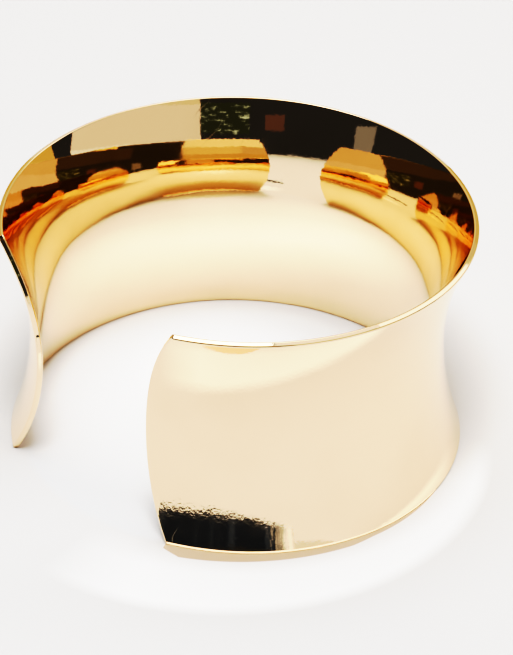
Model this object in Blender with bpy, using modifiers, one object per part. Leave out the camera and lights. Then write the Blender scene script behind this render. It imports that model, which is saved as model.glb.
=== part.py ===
"""Cuff bracelet: one flared band of polished gold-coloured metal, standing on its lower rim.

The band is a single bent sheet. Its waist is narrower than both rims, its plan is a slightly oval ring,
and its two ends bulge towards each other across the opening where the wrist slips in.

Units are metres. +Z is up, the opening faces -Y, and the origin is under the middle of the band, on
the surface that it stands on.
"""
import math

import bmesh
import bpy

COLLECTION_NAME = "cuff_bracelet"

# The band's section, measured on the middle of the sheet
SHEET_THICKNESS = 0.0009
BAND_HEIGHT = 0.0360
WAIST_RADIUS = 0.0297
WAIST_HEIGHT = 0.0182
TOP_FLARE = 0.0043
BOTTOM_FLARE = 0.0033
EDGE_ROUNDING = 0.00025
LOWER_RIM_ROUNDING = 0.0004

# The band's plan: shares of the waist radius, and how far each end springs out at its tip, or in if negative
OVAL_SHARE = 0.014
LEAN_SHARE = 0.006
RIGHT_END_SPRING = -0.0004
LEFT_END_SPRING = 0.0012
SPRING_REACH = math.radians(62.0)

# Half the angle of the opening, seen from the ring's axis
OPENING_AT_TOP = math.radians(31.0)
OPENING_AT_WAIST = math.radians(20.7)
OPENING_AT_BOTTOM = math.radians(29.1)

# The narrow flat that is ground along the lower rim, where the cuff stands
REST_GRIND = 0.00005

# Fineness of the solid
SPANS_ROUND = 84
SPANS_UP = 10
ROUNDING_SEGMENTS = 3
SMOOTH_BELOW = math.radians(30.0)

GOLD_COLOUR = (0.93, 0.74, 0.48, 1.0)
GOLD_ROUGHNESS = 0.06


def flare_arc(height_above_waist, rise, depth):
    """Return (outward flare, slope angle) on the arc that flares by depth over a height of rise."""
    arc_radius = (rise ** 2 + depth ** 2) / (2 * depth)
    slope = math.asin(abs(height_above_waist) / arc_radius)
    return arc_radius * (1 - math.cos(slope)), slope


def flare_at(height):
    """Return how far the wall stands out from its waist at a height."""
    above_waist = height - WAIST_HEIGHT
    if above_waist > 0:
        return flare_arc(above_waist, BAND_HEIGHT - WAIST_HEIGHT, TOP_FLARE)[0]
    return flare_arc(above_waist, WAIST_HEIGHT, BOTTOM_FLARE)[0]


def plan_radius(angle):
    """Return the waist's radius at an angle from the opening, which runs from -pi to pi."""
    waves = 1 - OVAL_SHARE * math.cos(2 * angle) - LEAN_SHARE * math.sin(3 * angle)
    spring = RIGHT_END_SPRING if angle > 0 else LEFT_END_SPRING
    towards_tip = max(SPRING_REACH - abs(angle), 0) / (SPRING_REACH - OPENING_AT_WAIST)
    return WAIST_RADIUS * waves + spring * towards_tip ** 2


def opening_at(up):
    """Return half the opening's angle at a share of the band's height."""
    straight = OPENING_AT_BOTTOM + (OPENING_AT_TOP - OPENING_AT_BOTTOM) * up
    bulge = OPENING_AT_WAIST - (OPENING_AT_BOTTOM + OPENING_AT_TOP) / 2
    return straight + bulge * 4 * up * (1 - up)


def stand_height():
    """Return how far the sheet's middle line stays above the surface, once its lower rim is ground."""
    slope = flare_arc(WAIST_HEIGHT, WAIST_HEIGHT, BOTTOM_FLARE)[1]
    corner_drop = SHEET_THICKNESS / 2 * math.sin(slope)
    rounded_off = LOWER_RIM_ROUNDING * (math.sin(slope) + math.cos(slope) - 1)
    return corner_drop - rounded_off - REST_GRIND


def wall_point(around, up):
    """Return a point on the sheet's middle, from the right end (around 0) to the left end (around 1)."""
    opening = opening_at(up)
    angle = opening + (2 * math.pi - 2 * opening) * around
    if angle > math.pi:
        angle -= 2 * math.pi
    height = BAND_HEIGHT * up
    radius = plan_radius(angle) + flare_at(height)
    return radius * math.sin(angle), -radius * math.cos(angle), height + stand_height()


def gold_material():
    """Polished pale gold plate."""
    material = bpy.data.materials.new("gold_plate")
    material.use_nodes = True
    shader = material.node_tree.nodes["Principled BSDF"]
    shader.inputs["Base Color"].default_value = GOLD_COLOUR
    shader.inputs["Metallic"].default_value = 1.0
    shader.inputs["Roughness"].default_value = GOLD_ROUGHNESS
    material.diffuse_color = GOLD_COLOUR
    return material


def weigh_edges(sheet):
    """Give each edge along the sheet's border its rounding, as a share of the lower rim's."""
    rounding = sheet.edges.layers.float.new("bevel_weight_edge")
    lowest = min(vertex.co.y for vertex in sheet.verts)
    for edge in sheet.edges:
        if edge.is_boundary:
            on_lower_rim = max(vertex.co.y for vertex in edge.verts) == lowest
            edge[rounding] = 1.0 if on_lower_rim else EDGE_ROUNDING / LOWER_RIM_ROUNDING


def bend_sheet(mesh):
    """Bend a flat grid into the cuff's wall, round the ring's axis."""
    sheet = bmesh.new()
    bmesh.ops.create_grid(sheet, x_segments=SPANS_ROUND, y_segments=SPANS_UP, size=0.5)
    weigh_edges(sheet)
    for vertex in sheet.verts:
        vertex.co = wall_point(vertex.co.x + 0.5, vertex.co.y + 0.5)
    bmesh.ops.recalc_face_normals(sheet, faces=sheet.faces)
    sheet.to_mesh(mesh)
    sheet.free()


def make_grinder(collection):
    """Make the block whose top is the surface, to grind the lower rim flat."""
    size = 4 * (WAIST_RADIUS + TOP_FLARE)
    bpy.ops.mesh.primitive_cube_add(size=size, location=(0, 0, -size / 2))
    grinder = bpy.context.object
    grinder.name = "rest_grinder"
    grinder.hide_render = True
    grinder.display_type = "WIRE"
    for other in grinder.users_collection:
        other.objects.unlink(grinder)
    collection.objects.link(grinder)
    return grinder


def make_cuff(collection, grinder):
    """Make the cuff: a bent sheet, thickened, its edges rounded and its lower rim ground flat."""
    mesh = bpy.data.meshes.new("cuff")
    bend_sheet(mesh)
    mesh.materials.append(gold_material())
    cuff = bpy.data.objects.new("cuff", mesh)
    collection.objects.link(cuff)

    thicken = cuff.modifiers.new("thicken", "SOLIDIFY")
    thicken.thickness = SHEET_THICKNESS
    thicken.offset = 0.0
    thicken.use_even_offset = True

    rounding = cuff.modifiers.new("round_edges", "BEVEL")
    rounding.width = LOWER_RIM_ROUNDING
    rounding.segments = ROUNDING_SEGMENTS
    rounding.limit_method = "WEIGHT"

    grind = cuff.modifiers.new("grind_rest", "BOOLEAN")
    grind.operation = "DIFFERENCE"
    grind.solver = "EXACT"
    grind.object = grinder

    mesh.shade_smooth()
    mesh.set_sharp_from_angle(angle=SMOOTH_BELOW)
    return cuff


def centre_on_origin(cuff):
    """Move the finished cuff sideways until its bounding box stands centred over the origin."""
    finished = cuff.evaluated_get(bpy.context.evaluated_depsgraph_get())
    for axis in (0, 1):
        extent = [corner[axis] for corner in finished.bound_box]
        cuff.location[axis] = -(min(extent) + max(extent)) / 2


def main():
    for leftover in list(bpy.data.objects):
        bpy.data.objects.remove(leftover, do_unlink=True)
    part_collection = bpy.data.collections.new(COLLECTION_NAME)
    cutter_collection = bpy.data.collections.new("cutters")
    for collection in (part_collection, cutter_collection):
        bpy.context.scene.collection.children.link(collection)
    cuff = make_cuff(part_collection, make_grinder(cutter_collection))
    centre_on_origin(cuff)


main()
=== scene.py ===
"""Cuff bracelet: the dressed model, its studio and its camera.

Lengths are in metres in the frame's own axes: +Z up, the opening towards -Y, the floor at z = 0.
The cuff's solid is replaced by a finer mesh of the same form, because mirror polish shows every facet.
"""
import math

import bmesh
import bpy
from mathutils import Matrix, Vector


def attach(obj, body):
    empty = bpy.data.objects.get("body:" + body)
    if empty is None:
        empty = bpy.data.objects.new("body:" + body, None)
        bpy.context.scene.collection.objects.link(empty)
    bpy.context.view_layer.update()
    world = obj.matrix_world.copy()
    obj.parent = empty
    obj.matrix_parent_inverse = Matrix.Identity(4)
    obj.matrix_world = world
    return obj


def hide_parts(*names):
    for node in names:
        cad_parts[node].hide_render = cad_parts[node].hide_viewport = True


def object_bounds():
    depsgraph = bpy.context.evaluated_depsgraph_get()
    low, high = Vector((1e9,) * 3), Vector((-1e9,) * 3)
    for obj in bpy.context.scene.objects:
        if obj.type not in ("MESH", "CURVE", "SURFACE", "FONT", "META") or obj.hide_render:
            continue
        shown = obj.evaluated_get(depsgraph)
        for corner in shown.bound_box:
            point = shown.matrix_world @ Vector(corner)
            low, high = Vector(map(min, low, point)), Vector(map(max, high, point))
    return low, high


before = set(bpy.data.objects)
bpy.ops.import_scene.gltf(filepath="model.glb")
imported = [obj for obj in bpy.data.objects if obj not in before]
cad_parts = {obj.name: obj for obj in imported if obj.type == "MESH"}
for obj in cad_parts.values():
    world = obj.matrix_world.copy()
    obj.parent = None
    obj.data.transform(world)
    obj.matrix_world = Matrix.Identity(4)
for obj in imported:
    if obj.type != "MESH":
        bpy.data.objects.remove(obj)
cad_low, cad_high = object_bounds()

# The cuff, as its solid is built
SHEET_THICKNESS = 0.0009
BAND_HEIGHT = 0.0360
WAIST_RADIUS = 0.0297
WAIST_HEIGHT = 0.0182
TOP_FLARE = 0.0043
BOTTOM_FLARE = 0.0033
EDGE_ROUNDING = 0.00025
LOWER_RIM_ROUNDING = 0.0004
OVAL_SHARE = 0.014
LEAN_SHARE = 0.006
RIGHT_END_SPRING = -0.0004
LEFT_END_SPRING = 0.0012
SPRING_REACH = math.radians(62.0)
OPENING_AT_TOP = math.radians(31.0)
OPENING_AT_WAIST = math.radians(20.7)
OPENING_AT_BOTTOM = math.radians(29.1)

# Fineness of the mesh
SPANS_ROUND = 420
SPANS_UP = 56
ROUNDING_SEGMENTS = 4

# The polish: its colour and roughness, and how deep and how wide its pebbling and slow waves are
GOLD = (1.0, 0.785, 0.535)
POLISH_ROUGHNESS = 0.035
PEBBLE_DEPTH = 0.0000036
PEBBLE_WIDTH = 0.0006
WAVE_DEPTH = 0.00003
WAVE_WIDTH = 0.007

# Its wear: the worn colour, and each pattern's width, the part of its noise that shows and its roughness
WORN_GOLD = (0.965, 0.757, 0.512)
WORN_WIDTH = 0.012
WORN_RANGE = (0.45, 0.75)
SMUDGE_WIDTH = 0.009
SMUDGE_DETAIL = 4.0
SMUDGE_RANGE = (0.56, 0.72)
SMUDGE_ROUGHNESS = 0.05
HAIR_SCALE = 90.0
HAIR_DISTORTION = 14.0
HAIR_DETAIL = 3.0
HAIR_DETAIL_SCALE = 0.6
HAIR_RANGE = (0.992, 1.0)
HAIR_ROUGHNESS = 0.10
SCRATCHED_WIDTH = 0.011
SCRATCHED_RANGE = (0.58, 0.66)

# The photo's camera: where it stands, seen from the foot of the ring's axis, and how it looks back
PHOTO_HEIGHT = 655
FOCAL_PIXELS = 3159.8
CAMERA_AZIMUTH = 46.7352
CAMERA_ELEVATION = 35.0660
CAMERA_DISTANCE = 0.472703
LOOK_AZIMUTH = 46.3515
LOOK_ELEVATION = 33.4048
CAMERA_ROLL = math.radians(-1.04)
SENSOR = 36.0

# The photo's contrast, as (strength of a light, how bright it comes out), with strengths up to BRIGHTEST
TONE_CURVE = ((0.0, 0.0), (0.06, 0.005), (0.10, 0.018), (0.145, 0.045), (0.25, 0.180), (0.5, 0.56),
              (0.76, 0.755), (1.0, 0.885), (1.4, 0.955), (2.0, 1.0))
BRIGHTEST = 2.0

# The room that the polish mirrors: each card's azimuths and elevations in degrees, and its colour.
# Azimuth 0 is out through the opening and 90 is towards the right-hand end's side.
ROOM_DISTANCE = 0.9
CARD_STEPS = 24
ROOM_DARK = (0.077, 0.086, 0.106)
ROOM = {
    "softbox": ((67, 139), (7, 24), (0.69, 0.60, 0.57)),
    "softbox_top": ((67, 130), (24, 62), (0.62, 0.54, 0.44)),
    "far_wall": ((-14, 66), (27, 47), (0.115, 0.11, 0.12)),
    "beam": ((8, 64), (47, 62), (0.90, 0.74, 0.45)),
    "softbox_foot": ((60, 139), (0, 7), (0.80, 0.76, 0.72)),
    "surround_foot": ((149, 287), (0, 10), (0.57, 0.42, 0.20)),
    "surround_low": ((149, 287), (10, 24), (0.56, 0.45, 0.28)),
    "surround_gap": ((184, 214), (24, 42), (0.58, 0.50, 0.39)),
    "surround_middle": ((214, 287), (24, 42), (0.70, 0.60, 0.47)),
    "surround_side": ((149, 184), (24, 62), (1.50, 1.42, 1.35)),
    "surround_high": ((184, 287), (42, 62), (0.90, 0.84, 0.80)),
    "canopy": ((180, 345), (62, 85), (2.7, 2.7, 2.7)),
    "canopy_top": ((0, 360), (85, 89.9), (2.7, 2.7, 2.7)),
    "ceiling": ((-14, 179), (62, 84.6), (0.95, 0.93, 0.91)),
    "light_stand": ((-26, -15), (5, 17), (0.27, 0.27, 0.28)),
    "cupboard": ((23, 33), (12, 20), (0.17, 0.12, 0.12)),
}

# How far the top of a card's two ends leans past its foot, in degrees
LEANS = {"softbox": (0, -9), "surround_low": (-7, 0)}

# The window, with streaks of far lights in it
WINDOW_AZIMUTHS = (41, 67)
WINDOW_ELEVATIONS = (10, 25)
WINDOW_DARK = (0.080, 0.096, 0.088)
WINDOW_STRETCH = 4.0
WINDOW_LIGHT_WIDTH = 0.09
WINDOW_LIGHT_DETAIL = 3.0
WINDOW_LIGHT_RANGE = (0.58, 0.66)
WINDOW_LIGHT_GAIN = 6.0

# The lamps that light the paper: each one's azimuth, elevation, size and power
LAMP_DISTANCE = 1.2
LAMPS = {
    "key": (42, 70, 0.38, 8.8),
    "overhead": (42, 88, 0.25, 1.8),
}
MIRROR_BOUNCES = 10

# The dark strip that the front wall mirrors, from its left end to its right one. It stands on the camera's
# side, and its right end pales between the two cosines from its middle, with a little speckle.
STRIP_AZIMUTHS = (15, 66)
STRIP_DISTANCES = (0.0610, 0.0765)
STRIP_HEIGHTS = (0.0015, 0.0025)
STRIP_MIDDLE = 26
STRIP_FADE = (0.800, 0.865)
STRIP_SPECKLE = 0.06
SPECKLE_WIDTH = 0.002
STREAK_WIDTH = 0.005
STREAK_RANGE = (0.50, 0.70)
STREAK_GAIN = 1.5
STRIP_DARK = (0.058, 0.074, 0.108)
STRIP_PALE = (0.90, 0.87, 0.83)

# The floor of white paper, and the haze beyond it
PAPER = (0.692, 0.698, 0.710)
PAPER_ROUGHNESS = 0.8
PAPER_SPECULAR = 0.1
FLOOR_RADIUS = 1.2
FLOOR_SIDES = 96
HAZE = (0.92, 0.92, 0.92)
HAZE_RADIUS = 3.0
HAZE_SEGMENTS = 48
HAZE_RINGS = 24

# The crescent of light that the outer wall throws in the photo, painted on the paper about the ring's axis.
# It fades in along CRESCENT_START, and between the two cosines from its middle azimuth.
FOOT_RADIUS = WAIST_RADIUS + BOTTOM_FLARE
CRESCENT_CENTRE = (0.0036, -0.0065)
CRESCENT_RADIUS = 0.0389
CRESCENT_BLUR = 0.0012
CRESCENT_START = (0.0325, 0.0380)
CRESCENT_MIDDLE = 70
CRESCENT_COSINES = (0.50, 0.74)
CRESCENT_GAIN = 0.42

# Patches of the paper at the front wall's foot, as (azimuth, outer radius), with painted light and shade:
# the painted golden shadow of the upper rim, seen only by the camera, and two painted glows, seen only by
# the polish
RIM_SHADOW = ((29.0, 0.0336), (33.5, 0.0350), (75, 0.0350), (81, 0.0346), (90, 0.0344), (98, 0.0341),
              (106, 0.0337))
RIM_SHADOW_TINT = (0.85, 0.66, 0.50)
AMBER_GLOW = ((25, 0.0350), (30, 0.0365), (38, 0.0377), (46, 0.0378), (52, 0.0368), (58, 0.0350))
AMBER_GLOW_TINT = (1.30, 1.03, 0.78)
FOOT_GLOW = ((29, 0.0346), (75, 0.0347), (106, 0.0343))
FOOT_GLOW_TINT = (2.1, 2.05, 2.0)
PATCH_TUCK = 0.0012
PATCH_HEIGHT = 0.00003
PATCH_STEPS = 8
PATCH_STEP_DEGREES = 2

# The spot and the halo of light that the inner wall gathers, a cooler light inside the ring,
# and the shade inside the front wall, all painted on the paper
SPOT_CENTRE = (-0.012, 0.009)
SPOT_RADIUS = 0.015
SPOT_GAIN = 0.28
HALO_CENTRE = (-0.018, 0.004)
HALO_RADIUS = 0.036
HALO_GAIN = 0.40
INSIDE_LIGHT_TINT = (0.99, 1.012, 1.035)
SHADE_DIRECTION = 70
SHADE_REACH = (0.018, 0.025)
SHADE_COSINES = (0.72, 0.85)
SHADE_TINT = (0.85, 0.74, 0.58)


def flare_arc(height_above_waist, rise, depth):
    """Return the outward flare on the arc that flares by depth over a height of rise."""
    arc_radius = (rise ** 2 + depth ** 2) / (2 * depth)
    return arc_radius - math.sqrt(arc_radius ** 2 - height_above_waist ** 2)


def flare_at(height):
    """Return how far the wall stands out from its waist at a height."""
    above_waist = height - WAIST_HEIGHT
    if above_waist > 0:
        return flare_arc(above_waist, BAND_HEIGHT - WAIST_HEIGHT, TOP_FLARE)
    return flare_arc(above_waist, WAIST_HEIGHT, BOTTOM_FLARE)


def plan_radius(angle):
    """Return the waist's radius at an angle from the opening, which runs from -pi to pi."""
    waves = 1 - OVAL_SHARE * math.cos(2 * angle) - LEAN_SHARE * math.sin(3 * angle)
    spring = RIGHT_END_SPRING if angle > 0 else LEFT_END_SPRING
    towards_tip = max(SPRING_REACH - abs(angle), 0) / (SPRING_REACH - OPENING_AT_WAIST)
    return WAIST_RADIUS * waves + spring * towards_tip ** 2


def opening_at(up):
    """Return half the opening's angle at a share of the band's height."""
    straight = OPENING_AT_BOTTOM + (OPENING_AT_TOP - OPENING_AT_BOTTOM) * up
    bulge = OPENING_AT_WAIST - (OPENING_AT_BOTTOM + OPENING_AT_TOP) / 2
    return straight + bulge * 4 * up * (1 - up)


def wall_point(around, up):
    """Return a point on the sheet's middle, from the right end (around 0) to the left end (around 1)."""
    opening = opening_at(up)
    angle = opening + (2 * math.pi - 2 * opening) * around
    if angle > math.pi:
        angle -= 2 * math.pi
    radius = plan_radius(angle) + flare_at(BAND_HEIGHT * up)
    return Vector((radius * math.sin(angle), -radius * math.cos(angle), BAND_HEIGHT * up))


def node_tree(material):
    """Return a material's nodes and links, with its shader and output already there."""
    material.use_nodes = True
    return material.node_tree.nodes, material.node_tree.links


def math_node(nodes, links, operation, first, second):
    """Add a sum or product of two values or sockets, and return its result."""
    node = nodes.new("ShaderNodeMath")
    node.operation = operation
    for socket, value in zip(node.inputs, (first, second)):
        if isinstance(value, (int, float)):
            socket.default_value = value
        else:
            links.new(value, socket)
    return node.outputs["Value"]


def noise_node(nodes, links, place, width, detail=2.0):
    """Add noise with blobs of about a width, and return its height."""
    node = nodes.new("ShaderNodeTexNoise")
    node.inputs["Scale"].default_value = 1 / width
    node.inputs["Detail"].default_value = detail
    links.new(place, node.inputs["Vector"])
    return node.outputs["Fac"]


def ramp_node(nodes, links, value, low, high, start, end):
    """Turn a value that runs from low to high into one that runs from start to end."""
    node = nodes.new("ShaderNodeMapRange")
    for name, number in (("From Min", low), ("From Max", high), ("To Min", start), ("To Max", end)):
        node.inputs[name].default_value = number
    links.new(value, node.inputs["Value"])
    return node.outputs["Result"]


def gold_material():
    """Mirror-polished pale gold plate, with pebbling, slow waves, smudges and hairline scratches."""
    material = bpy.data.materials.new("gold_plate")
    nodes, links = node_tree(material)
    shader = nodes["Principled BSDF"]
    shader.inputs["Metallic"].default_value = 1.0
    place = nodes.new("ShaderNodeTexCoord").outputs["Object"]

    tone = nodes.new("ShaderNodeMix")
    tone.data_type = "RGBA"
    worn = noise_node(nodes, links, place, WORN_WIDTH)
    links.new(ramp_node(nodes, links, worn, *WORN_RANGE, 0.0, 1.0), tone.inputs["Factor"])
    tone.inputs["A"].default_value = (*GOLD, 1.0)
    tone.inputs["B"].default_value = (*WORN_GOLD, 1.0)
    links.new(tone.outputs["Result"], shader.inputs["Base Color"])

    smudge = ramp_node(nodes, links, noise_node(nodes, links, place, SMUDGE_WIDTH, SMUDGE_DETAIL),
                       *SMUDGE_RANGE, 0.0, SMUDGE_ROUGHNESS)
    hairs = nodes.new("ShaderNodeTexWave")
    hairs.inputs["Scale"].default_value = HAIR_SCALE
    hairs.inputs["Distortion"].default_value = HAIR_DISTORTION
    hairs.inputs["Detail"].default_value = HAIR_DETAIL
    hairs.inputs["Detail Scale"].default_value = HAIR_DETAIL_SCALE
    links.new(place, hairs.inputs["Vector"])
    where = ramp_node(nodes, links, noise_node(nodes, links, place, SCRATCHED_WIDTH),
                      *SCRATCHED_RANGE, 0.0, 1.0)
    hair = ramp_node(nodes, links, hairs.outputs["Fac"], *HAIR_RANGE, 0.0, HAIR_ROUGHNESS)
    scratch = math_node(nodes, links, "MULTIPLY", hair, where)
    rough = math_node(nodes, links, "ADD", math_node(nodes, links, "ADD", smudge, scratch),
                      POLISH_ROUGHNESS)
    links.new(rough, shader.inputs["Roughness"])

    pebbles = math_node(nodes, links, "MULTIPLY",
                        noise_node(nodes, links, place, PEBBLE_WIDTH), PEBBLE_DEPTH)
    waves = math_node(nodes, links, "MULTIPLY",
                      noise_node(nodes, links, place, WAVE_WIDTH, 1.0), WAVE_DEPTH)
    bump = nodes.new("ShaderNodeBump")
    bump.inputs["Strength"].default_value = 1.0
    bump.inputs["Distance"].default_value = 1.0
    links.new(math_node(nodes, links, "ADD", pebbles, waves), bump.inputs["Height"])
    links.new(bump.outputs["Normal"], shader.inputs["Normal"])
    return material


def weigh_edges(sheet):
    """Give each edge along the sheet's border its rounding, as a share of the lower rim's."""
    rounding = sheet.edges.layers.float.new("bevel_weight_edge")
    lowest = min(vertex.co.y for vertex in sheet.verts)
    for edge in sheet.edges:
        if edge.is_boundary:
            on_lower_rim = max(vertex.co.y for vertex in edge.verts) == lowest
            edge[rounding] = 1.0 if on_lower_rim else EDGE_ROUNDING / LOWER_RIM_ROUNDING


def make_cuff():
    """Make the cuff's fine mesh where its solid is, and return where the ring's axis stands."""
    sheet = bmesh.new()
    bmesh.ops.create_grid(sheet, x_segments=SPANS_ROUND, y_segments=SPANS_UP, size=0.5)
    weigh_edges(sheet)
    for vertex in sheet.verts:
        vertex.co = wall_point(vertex.co.x + 0.5, vertex.co.y + 0.5)
    bmesh.ops.recalc_face_normals(sheet, faces=sheet.faces)
    mesh = bpy.data.meshes.new("cuff_fine")
    sheet.to_mesh(mesh)
    sheet.free()
    mesh.shade_smooth()
    mesh.materials.append(gold_material())
    cuff = bpy.data.objects.new("cuff_fine", mesh)
    bpy.context.scene.collection.objects.link(cuff)

    thicken = cuff.modifiers.new("thicken", "SOLIDIFY")
    thicken.thickness = SHEET_THICKNESS
    thicken.offset = 0.0
    thicken.use_even_offset = True
    rounding = cuff.modifiers.new("round_edges", "BEVEL")
    rounding.width = LOWER_RIM_ROUNDING
    rounding.segments = ROUNDING_SEGMENTS
    rounding.limit_method = "WEIGHT"
    rounding.harden_normals = True

    finished = cuff.evaluated_get(bpy.context.evaluated_depsgraph_get())
    shaped = bpy.data.meshes.new_from_object(finished)
    cuff.modifiers.clear()
    cuff.data = shaped
    low = Vector(min(vertex.co[axis] for vertex in shaped.vertices) for axis in range(3))
    high = Vector(max(vertex.co[axis] for vertex in shaped.vertices) for axis in range(3))
    shift = (cad_low + cad_high - low - high) / 2
    shift.z = cad_high.z - high.z
    for vertex in shaped.vertices:
        vertex.co.z = max(vertex.co.z, -shift.z)
    cuff.location = shift
    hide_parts("cuff")
    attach(cuff, "root")
    return shift


def make_camera(ring_axis):
    """Make the camera with the photo's own view."""
    data = bpy.data.cameras.new("camera")
    data.sensor_width = SENSOR
    data.lens = FOCAL_PIXELS * SENSOR / PHOTO_HEIGHT
    camera = bpy.data.objects.new("camera", data)
    bpy.context.scene.collection.objects.link(camera)
    forward = -on_sky(LOOK_AZIMUTH, LOOK_ELEVATION, 1)
    right = forward.cross(Vector((0, 0, 1))).normalized()
    down = forward.cross(right)
    turned_right = math.cos(CAMERA_ROLL) * right + math.sin(CAMERA_ROLL) * down
    turned_down = -math.sin(CAMERA_ROLL) * right + math.cos(CAMERA_ROLL) * down
    turn = Matrix((turned_right, -turned_down, -forward)).transposed()
    place = on_sky(CAMERA_AZIMUTH, CAMERA_ELEVATION, CAMERA_DISTANCE) + ring_axis
    camera.matrix_world = Matrix.Translation(place) @ turn.to_4x4()
    bpy.context.scene.camera = camera


def far_from(nodes, links, place, centre):
    """Return the distance of a place from a centre on the floor."""
    node = nodes.new("ShaderNodeVectorMath")
    node.operation = "DISTANCE"
    links.new(place, node.inputs[0])
    node.inputs[1].default_value = (centre[0], centre[1], 0.0)
    return node.outputs["Value"]


def along(nodes, links, place, azimuth, normalise):
    """Return how far a place lies towards an azimuth, or the cosine between them if normalised."""
    if normalise:
        heading = nodes.new("ShaderNodeVectorMath")
        heading.operation = "NORMALIZE"
        links.new(place, heading.inputs[0])
        place = heading.outputs["Vector"]
    node = nodes.new("ShaderNodeVectorMath")
    node.operation = "DOT_PRODUCT"
    links.new(place, node.inputs[0])
    node.inputs[1].default_value = on_sky(azimuth, 0, 1)
    return node.outputs["Value"]


def product(nodes, links, *factors):
    """Multiply values."""
    result = factors[0]
    for factor in factors[1:]:
        result = math_node(nodes, links, "MULTIPLY", result, factor)
    return result


def tint_by(nodes, links, colour, tint, share):
    """Multiply a colour by a tint over a share of its surface."""
    mix = nodes.new("ShaderNodeMix")
    mix.data_type = "RGBA"
    mix.blend_type = "MULTIPLY"
    links.new(share, mix.inputs["Factor"])
    links.new(colour, mix.inputs["A"])
    mix.inputs["B"].default_value = (*tint, 1.0)
    return mix.outputs["Result"]


def bare_paper(name):
    """Return a matt paper material, its colour still to be set, and its shader."""
    material = bpy.data.materials.new(name)
    shader = node_tree(material)[0]["Principled BSDF"]
    shader.inputs["Roughness"].default_value = PAPER_ROUGHNESS
    shader.inputs["Specular IOR Level"].default_value = PAPER_SPECULAR
    return material, shader


def paper_material(ring_axis):
    """White paper, painted with the light and shade that the cuff throws in the photo."""
    material, shader = bare_paper("paper")
    nodes, links = node_tree(material)
    about_ring = nodes.new("ShaderNodeMapping")
    about_ring.inputs["Location"].default_value = (-ring_axis.x, -ring_axis.y, 0.0)
    links.new(nodes.new("ShaderNodeTexCoord").outputs["Object"], about_ring.inputs["Vector"])
    place = about_ring.outputs["Vector"]

    from_axis = far_from(nodes, links, place, (0.0, 0.0))
    inside = ramp_node(nodes, links, from_axis, FOOT_RADIUS - CRESCENT_BLUR, FOOT_RADIUS, 1.0, 0.0)
    crescent = product(
        nodes, links,
        ramp_node(nodes, links, from_axis, *CRESCENT_START, 0.0, 1.0),
        ramp_node(nodes, links, far_from(nodes, links, place, CRESCENT_CENTRE),
                  CRESCENT_RADIUS - CRESCENT_BLUR, CRESCENT_RADIUS + CRESCENT_BLUR, CRESCENT_GAIN, 0.0),
        ramp_node(nodes, links, along(nodes, links, place, CRESCENT_MIDDLE, True),
                  *CRESCENT_COSINES, 0.0, 1.0))
    spot = ramp_node(nodes, links, far_from(nodes, links, place, SPOT_CENTRE),
                     0.0, SPOT_RADIUS, SPOT_GAIN, 0.0)
    halo = product(nodes, links, inside,
                   ramp_node(nodes, links, far_from(nodes, links, place, HALO_CENTRE),
                             0.0, HALO_RADIUS, HALO_GAIN, 0.0))
    gain = math_node(nodes, links, "ADD", math_node(nodes, links, "ADD", spot, halo),
                     math_node(nodes, links, "ADD", crescent, 1.0))
    lit = nodes.new("ShaderNodeVectorMath")
    lit.operation = "SCALE"
    lit.inputs[0].default_value = PAPER
    links.new(gain, lit.inputs["Scale"])

    shade = product(nodes, links, inside,
                    ramp_node(nodes, links, along(nodes, links, place, SHADE_DIRECTION, False),
                              *SHADE_REACH, 0.0, 1.0),
                    ramp_node(nodes, links, along(nodes, links, place, SHADE_DIRECTION, True),
                              *SHADE_COSINES, 0.0, 1.0))
    # Paint a cooler light on the paper inside the ring, then the shade inside the front wall
    colour = tint_by(nodes, links, lit.outputs["Vector"], INSIDE_LIGHT_TINT, inside)
    links.new(tint_by(nodes, links, colour, SHADE_TINT, shade), shader.inputs["Base Color"])
    return material


def make_floor(ring_axis):
    """A sheet of white paper, and the pale haze beyond it that only the camera sees."""
    bpy.ops.mesh.primitive_circle_add(radius=FLOOR_RADIUS, vertices=FLOOR_SIDES, fill_type="NGON",
                                      location=(0, 0, 0))
    floor = bpy.context.object
    floor.name = "floor"
    floor.data.materials.append(paper_material(ring_axis))
    bpy.ops.mesh.primitive_uv_sphere_add(radius=HAZE_RADIUS, segments=HAZE_SEGMENTS,
                                         ring_count=HAZE_RINGS, location=(0, 0, 0))
    haze = bpy.context.object
    haze.name = "haze"
    haze.data.materials.append(glow_material("haze", HAZE))
    hide_from(haze, "diffuse", "glossy", "transmission", "shadow")


def hide_from(thing, *rays):
    """Keep a thing of the stage out of kinds of light rays."""
    for ray in rays:
        setattr(thing, "visible_" + ray, False)


def glow_material(name, colour):
    """A surface that sends out light of one colour."""
    material = bpy.data.materials.new(name)
    nodes, links = node_tree(material)
    nodes.remove(nodes["Principled BSDF"])
    light = nodes.new("ShaderNodeEmission")
    light.inputs["Color"].default_value = (*colour, 1.0)
    light.inputs["Strength"].default_value = 1.0
    links.new(light.outputs["Emission"], nodes["Material Output"].inputs["Surface"])
    return material


def window_material():
    """A dim window with streaks of far lights in it."""
    material = glow_material("window", WINDOW_DARK)
    nodes, links = node_tree(material)
    stretch = nodes.new("ShaderNodeMapping")
    stretch.inputs["Scale"].default_value = (1.0, 1.0, WINDOW_STRETCH)
    links.new(nodes.new("ShaderNodeTexCoord").outputs["Object"], stretch.inputs["Vector"])
    far_lights = noise_node(nodes, links, stretch.outputs["Vector"], WINDOW_LIGHT_WIDTH,
                            WINDOW_LIGHT_DETAIL)
    lights = ramp_node(nodes, links, far_lights, *WINDOW_LIGHT_RANGE, 1.0, WINDOW_LIGHT_GAIN)
    links.new(lights, nodes["Emission"].inputs["Strength"])
    return material


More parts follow.
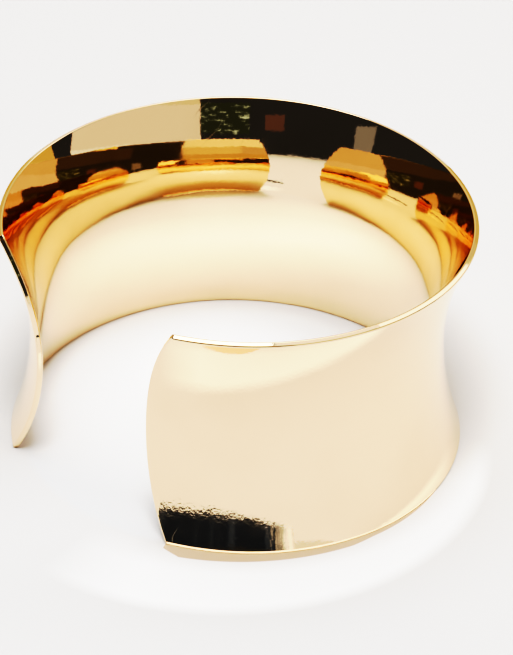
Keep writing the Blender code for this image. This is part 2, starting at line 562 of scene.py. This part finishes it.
def strip_material():
    """The dark strip, streaked upright, and paling towards its right-hand end."""
    material = glow_material("strip", STRIP_DARK)
    nodes, links = node_tree(material)
    place = nodes.new("ShaderNodeTexCoord").outputs["Object"]
    upright = nodes.new("ShaderNodeMapping")
    upright.inputs["Scale"].default_value = (1.0, 1.0, 0.0)
    links.new(place, upright.inputs["Vector"])
    streaks = ramp_node(nodes, links, noise_node(nodes, links, upright.outputs["Vector"], STREAK_WIDTH),
                        *STREAK_RANGE, 1.0, STREAK_GAIN)
    links.new(streaks, nodes["Emission"].inputs["Strength"])
    pale = nodes.new("ShaderNodeMix")
    pale.data_type = "RGBA"
    speckle = ramp_node(nodes, links, noise_node(nodes, links, place, SPECKLE_WIDTH),
                        0.0, 1.0, -STRIP_SPECKLE, STRIP_SPECKLE)
    towards_middle = math_node(nodes, links, "ADD", along(nodes, links, place, STRIP_MIDDLE, True), speckle)
    links.new(ramp_node(nodes, links, towards_middle, *STRIP_FADE, 1.0, 0.0), pale.inputs["Factor"])
    pale.inputs["A"].default_value = (*STRIP_DARK, 1.0)
    pale.inputs["B"].default_value = (*STRIP_PALE, 1.0)
    links.new(pale.outputs["Result"], nodes["Emission"].inputs["Color"])
    return material


def on_sky(azimuth, elevation, distance):
    """Return the point at a direction from the cuff: azimuth 0 is towards -Y and 90 towards +X."""
    a, e = math.radians(azimuth), math.radians(elevation)
    return distance * Vector((math.sin(a) * math.cos(e), -math.cos(a) * math.cos(e), math.sin(e)))


def make_sheet(name, rows, material):
    """Make a sheet of the stage through rows of points, hidden from the camera and from shadow rays."""
    card = bmesh.new()
    made_rows = [[card.verts.new(point) for point in row] for row in rows]
    for lower, upper in zip(made_rows, made_rows[1:]):
        for corners in zip(lower, lower[1:], upper[1:], upper):
            card.faces.new(corners)
    mesh = bpy.data.meshes.new(name)
    card.to_mesh(mesh)
    card.free()
    mesh.materials.append(material)
    made = bpy.data.objects.new(name, mesh)
    bpy.context.scene.collection.objects.link(made)
    hide_from(made, "camera", "shadow")
    return made


def make_card(name, azimuths, elevations, material):
    """Make a curved card of the room, whose two ends may lean."""
    start_lean, end_lean = LEANS.get(name, (0, 0))
    rows = []
    for share in (0, 0.5, 1):
        start = azimuths[0] + start_lean * share
        end = azimuths[1] + end_lean * share
        elevation = elevations[0] + (elevations[1] - elevations[0]) * share
        rows.append([on_sky(start + (end - start) * i / CARD_STEPS, elevation, ROOM_DISTANCE)
                     for i in range(CARD_STEPS + 1)])
    make_sheet(name, rows, material)


def follow(outline):
    """Return azimuths and lengths at even steps along an outline of (azimuth, length)."""
    points = []
    for (azimuth, length), (next_azimuth, next_length) in zip(outline, outline[1:]):
        steps = max(PATCH_STEPS, round((next_azimuth - azimuth) / PATCH_STEP_DEGREES))
        for i in range(steps):
            share = i / steps
            points.append((azimuth + (next_azimuth - azimuth) * share,
                           length + (next_length - length) * share))
    return points + [outline[-1]]


def make_patch(name, inner, outline, tint, ring_axis, *hidden_from):
    """Paint light or shade on a patch of paper, from an inner radius to an outline, hidden from some rays.
    """
    lift = Vector((ring_axis.x, ring_axis.y, PATCH_HEIGHT))
    points = follow(outline)
    rows = ([on_sky(azimuth, 0, inner) + lift for azimuth, _ in points],
            [on_sky(azimuth, 0, reach) + lift for azimuth, reach in points])
    material, shader = bare_paper(name)
    tinted = [paper * share for paper, share in zip(PAPER, tint)]
    shader.inputs["Base Color"].default_value = (*tinted, 1.0)
    patch = make_sheet(name, rows, material)
    patch.visible_camera = True
    hide_from(patch, "diffuse", "transmission", *hidden_from)


def make_strip(ring_axis):
    """Make the dark strip on the camera's side, which only the polish sees."""
    rows = ([], [])
    for i in range(CARD_STEPS + 1):
        azimuth, distance, height = (low + (high - low) * i / CARD_STEPS
                                     for low, high in (STRIP_AZIMUTHS, STRIP_DISTANCES, STRIP_HEIGHTS))
        foot = on_sky(azimuth, 0, distance) + Vector((ring_axis.x, ring_axis.y, 0))
        rows[0].append(foot)
        rows[1].append(foot + Vector((0, 0, height)))
    strip = make_sheet("strip", rows, strip_material())
    hide_from(strip, "diffuse")


def make_lamp(name, azimuth, elevation, size, power):
    """Make a round lamp that looks at the cuff, and that the polish doesn't mirror."""
    data = bpy.data.lights.new(name, "AREA")
    data.shape = "DISK"
    data.size = size
    data.energy = power
    light = bpy.data.objects.new(name, data)
    light.location = on_sky(azimuth, elevation, LAMP_DISTANCE)
    light.rotation_euler = (-light.location).to_track_quat("-Z", "Y").to_euler()
    light.visible_glossy = False
    bpy.context.scene.collection.objects.link(light)


def make_studio(ring_axis):
    """The room, its lamps and the photo's contrast."""
    scene = bpy.context.scene
    world = bpy.data.worlds.new("room")
    scene.world = world
    world.use_nodes = True
    background = world.node_tree.nodes["Background"]
    background.inputs["Color"].default_value = (*ROOM_DARK, 1.0)
    for name, (azimuths, elevations, colour) in ROOM.items():
        make_card(name, azimuths, elevations, glow_material(name, colour))
    make_card("window", WINDOW_AZIMUTHS, WINDOW_ELEVATIONS, window_material())
    make_strip(ring_axis)
    # Painted shadow on the paper that only the camera sees, and painted glows that only the polish sees
    make_patch("rim_shadow", FOOT_RADIUS - PATCH_TUCK, RIM_SHADOW, RIM_SHADOW_TINT, ring_axis, "glossy")
    make_patch("foot_glow", FOOT_RADIUS - PATCH_TUCK, FOOT_GLOW, FOOT_GLOW_TINT, ring_axis, "camera")
    make_patch("amber_glow", FOOT_GLOW[0][1], AMBER_GLOW, AMBER_GLOW_TINT, ring_axis, "camera")
    for name, (azimuth, elevation, size, power) in LAMPS.items():
        make_lamp(name, azimuth, elevation, size, power)

    view = scene.view_settings
    view.view_transform = "Standard"
    view.use_curve_mapping = True
    view.curve_mapping.extend = "HORIZONTAL"
    view.curve_mapping.white_level = (BRIGHTEST, BRIGHTEST, BRIGHTEST)
    tone = view.curve_mapping.curves[3]
    for strength, shown in TONE_CURVE[1:-1]:
        tone.points.new(strength / BRIGHTEST, shown)
    view.curve_mapping.update()
    scene.cycles.glossy_bounces = MIRROR_BOUNCES


ring_axis = make_cuff()
make_camera(ring_axis)
make_floor(ring_axis)
make_studio(ring_axis)
